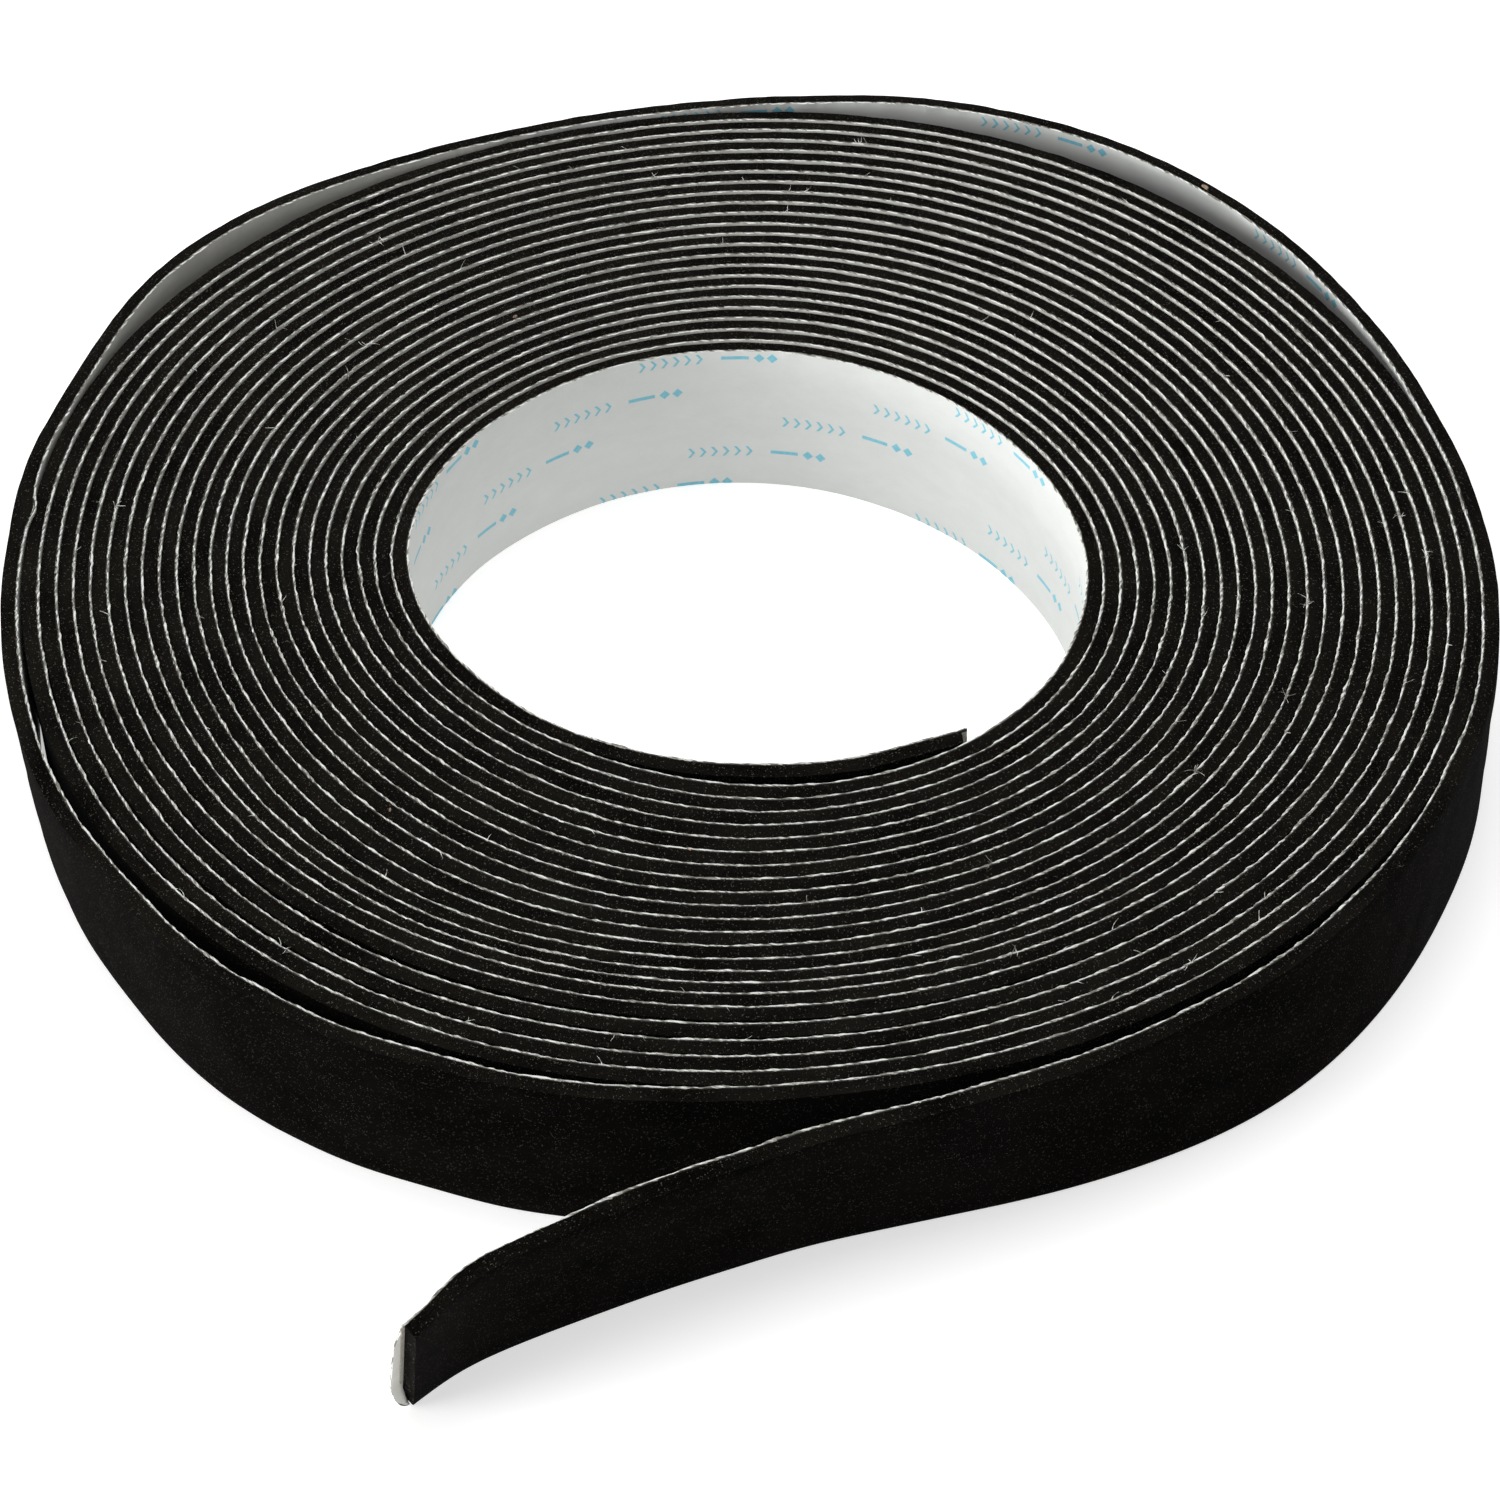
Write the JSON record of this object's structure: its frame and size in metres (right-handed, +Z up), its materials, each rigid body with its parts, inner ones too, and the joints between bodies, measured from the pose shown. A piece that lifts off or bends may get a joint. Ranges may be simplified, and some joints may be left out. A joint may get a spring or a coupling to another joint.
{
  "type": "foam sealing tape roll",
  "caption": "Coreless roll of self-adhesive foam sealing strip wound on edge, foam outside and paper release liner inside, with a loose outer end that unrolls and a liner tab that peels.",
  "frame": {"origin": "centre of the footprint box at the lower edges of the wound strip, on the surface the roll stands on", "axes": "+Z up along the roll's axis; -Y towards the side where the loose end leaves the roll; the strip winds outwards clockwise seen from +Z"},
  "size_m": [0.194, 0.2344, 0.0239],
  "materials": {
    "foam": "matte black fine-celled sponge foam",
    "adhesive": "translucent off-white double-coated adhesive",
    "liner": "smooth coated release paper"
  },
  "bodies": {
    "roll": {"foam_coil": "foam", "adhesive_coil": "adhesive", "liner_coil": "liner"},
    "inner_end": {"foam_inner_end": "foam", "adhesive_inner_end": "adhesive", "liner_inner_end": "liner"},
    "run_1": {"foam_run_1": "foam", "adhesive_run_1": "adhesive", "liner_run_1": "liner"},
    "run_2": {"foam_run_2": "foam", "adhesive_run_2": "adhesive", "liner_run_2": "liner"},
    "run_3": {"foam_run_3": "foam", "adhesive_run_3": "adhesive", "liner_run_3": "liner"},
    "run_4": {"foam_run_4": "foam", "adhesive_run_4": "adhesive", "liner_run_4": "liner"},
    "run_5": {"foam_run_5": "foam", "adhesive_run_5": "adhesive", "liner_run_5": "liner"},
    "run_6": {"foam_run_6": "foam", "adhesive_run_6": "adhesive", "liner_run_6": "liner"},
    "run_7": {"foam_run_7": "foam", "adhesive_run_7": "adhesive", "liner_run_7": "liner"},
    "run_8": {"foam_run_8": "foam", "adhesive_run_8": "adhesive", "liner_run_8": "liner"},
    "run_9": {"foam_run_9": "foam", "adhesive_run_9": "adhesive", "liner_run_9": "liner"},
    "pull_tab": {"liner_pull_tab": "liner"}
  },
  "joints": [
    {"name": "inner_end_lift", "type": "hinge", "parent": "roll", "child": "inner_end", "pos_m": [0.00257, -0.02227, 0.01175], "axis": [0, 0, 1], "range_deg": [0, 60], "stiffness_Nm_per_rad": 0.0004},
    {"name": "unroll_1", "type": "hinge", "parent": "roll", "child": "run_1", "pos_m": [-0.0071, 0.11612, 0.01175], "axis": [0, 0, 1], "range_deg": [0, 36], "stiffness_Nm_per_rad": 0.0004},
    {"name": "unroll_2", "type": "hinge", "parent": "run_1", "child": "run_2", "pos_m": [0.05501, 0.10557, 0.01175], "axis": [0, 0, 1], "range_deg": [0, 36], "stiffness_Nm_per_rad": 0.0004},
    {"name": "unroll_3", "type": "hinge", "parent": "run_2", "child": "run_3", "pos_m": [0.09074, 0.05397, 0.01175], "axis": [0, 0, 1], "range_deg": [0, 36], "stiffness_Nm_per_rad": 0.0004},
    {"name": "unroll_4", "type": "hinge", "parent": "run_3", "child": "run_4", "pos_m": [0.09522, -0.00656, 0.01175], "axis": [0, 0, 1], "range_deg": [0, 36], "stiffness_Nm_per_rad": 0.0004},
    {"name": "unroll_5", "type": "hinge", "parent": "run_4", "child": "run_5", "pos_m": [0.06386, -0.0591, 0.01175], "axis": [0.0058, -0.0065, 1], "range_deg": [0, 36], "stiffness_Nm_per_rad": 0.0004},
    {"name": "unroll_6", "type": "hinge", "parent": "run_5", "child": "run_6", "pos_m": [0.03068, -0.07774, 0.01171], "axis": [0.0264, -0.0776, 0.9966], "range_deg": [0, 30], "stiffness_Nm_per_rad": 0.0006},
    {"name": "unroll_7", "type": "hinge", "parent": "run_6", "child": "run_7", "pos_m": [0.00918, -0.08409, 0.01157], "axis": [0.0493, -0.1665, 0.9848], "range_deg": [0, 30], "stiffness_Nm_per_rad": 0.0008},
    {"name": "unroll_8", "type": "hinge", "parent": "run_7", "child": "run_8", "pos_m": [-0.00828, -0.09166, 0.01152], "axis": [0.085, -0.1784, 0.9803], "range_deg": [0, 30], "stiffness_Nm_per_rad": 0.0008},
    {"name": "unroll_9", "type": "hinge", "parent": "run_8", "child": "run_9", "pos_m": [-0.02515, -0.10103, 0.01142], "axis": [0.1127, -0.2087, 0.9715], "range_deg": [0, 30], "stiffness_Nm_per_rad": 0.0008},
    {"name": "liner_peel", "type": "hinge", "parent": "run_9", "child": "pull_tab", "pos_m": [-0.03285, -0.1041, 0.01195], "axis": [-0.0832, 0.2752, -0.9578], "range_deg": [0, 90], "stiffness_Nm_per_rad": 0.0001}
  ]
}
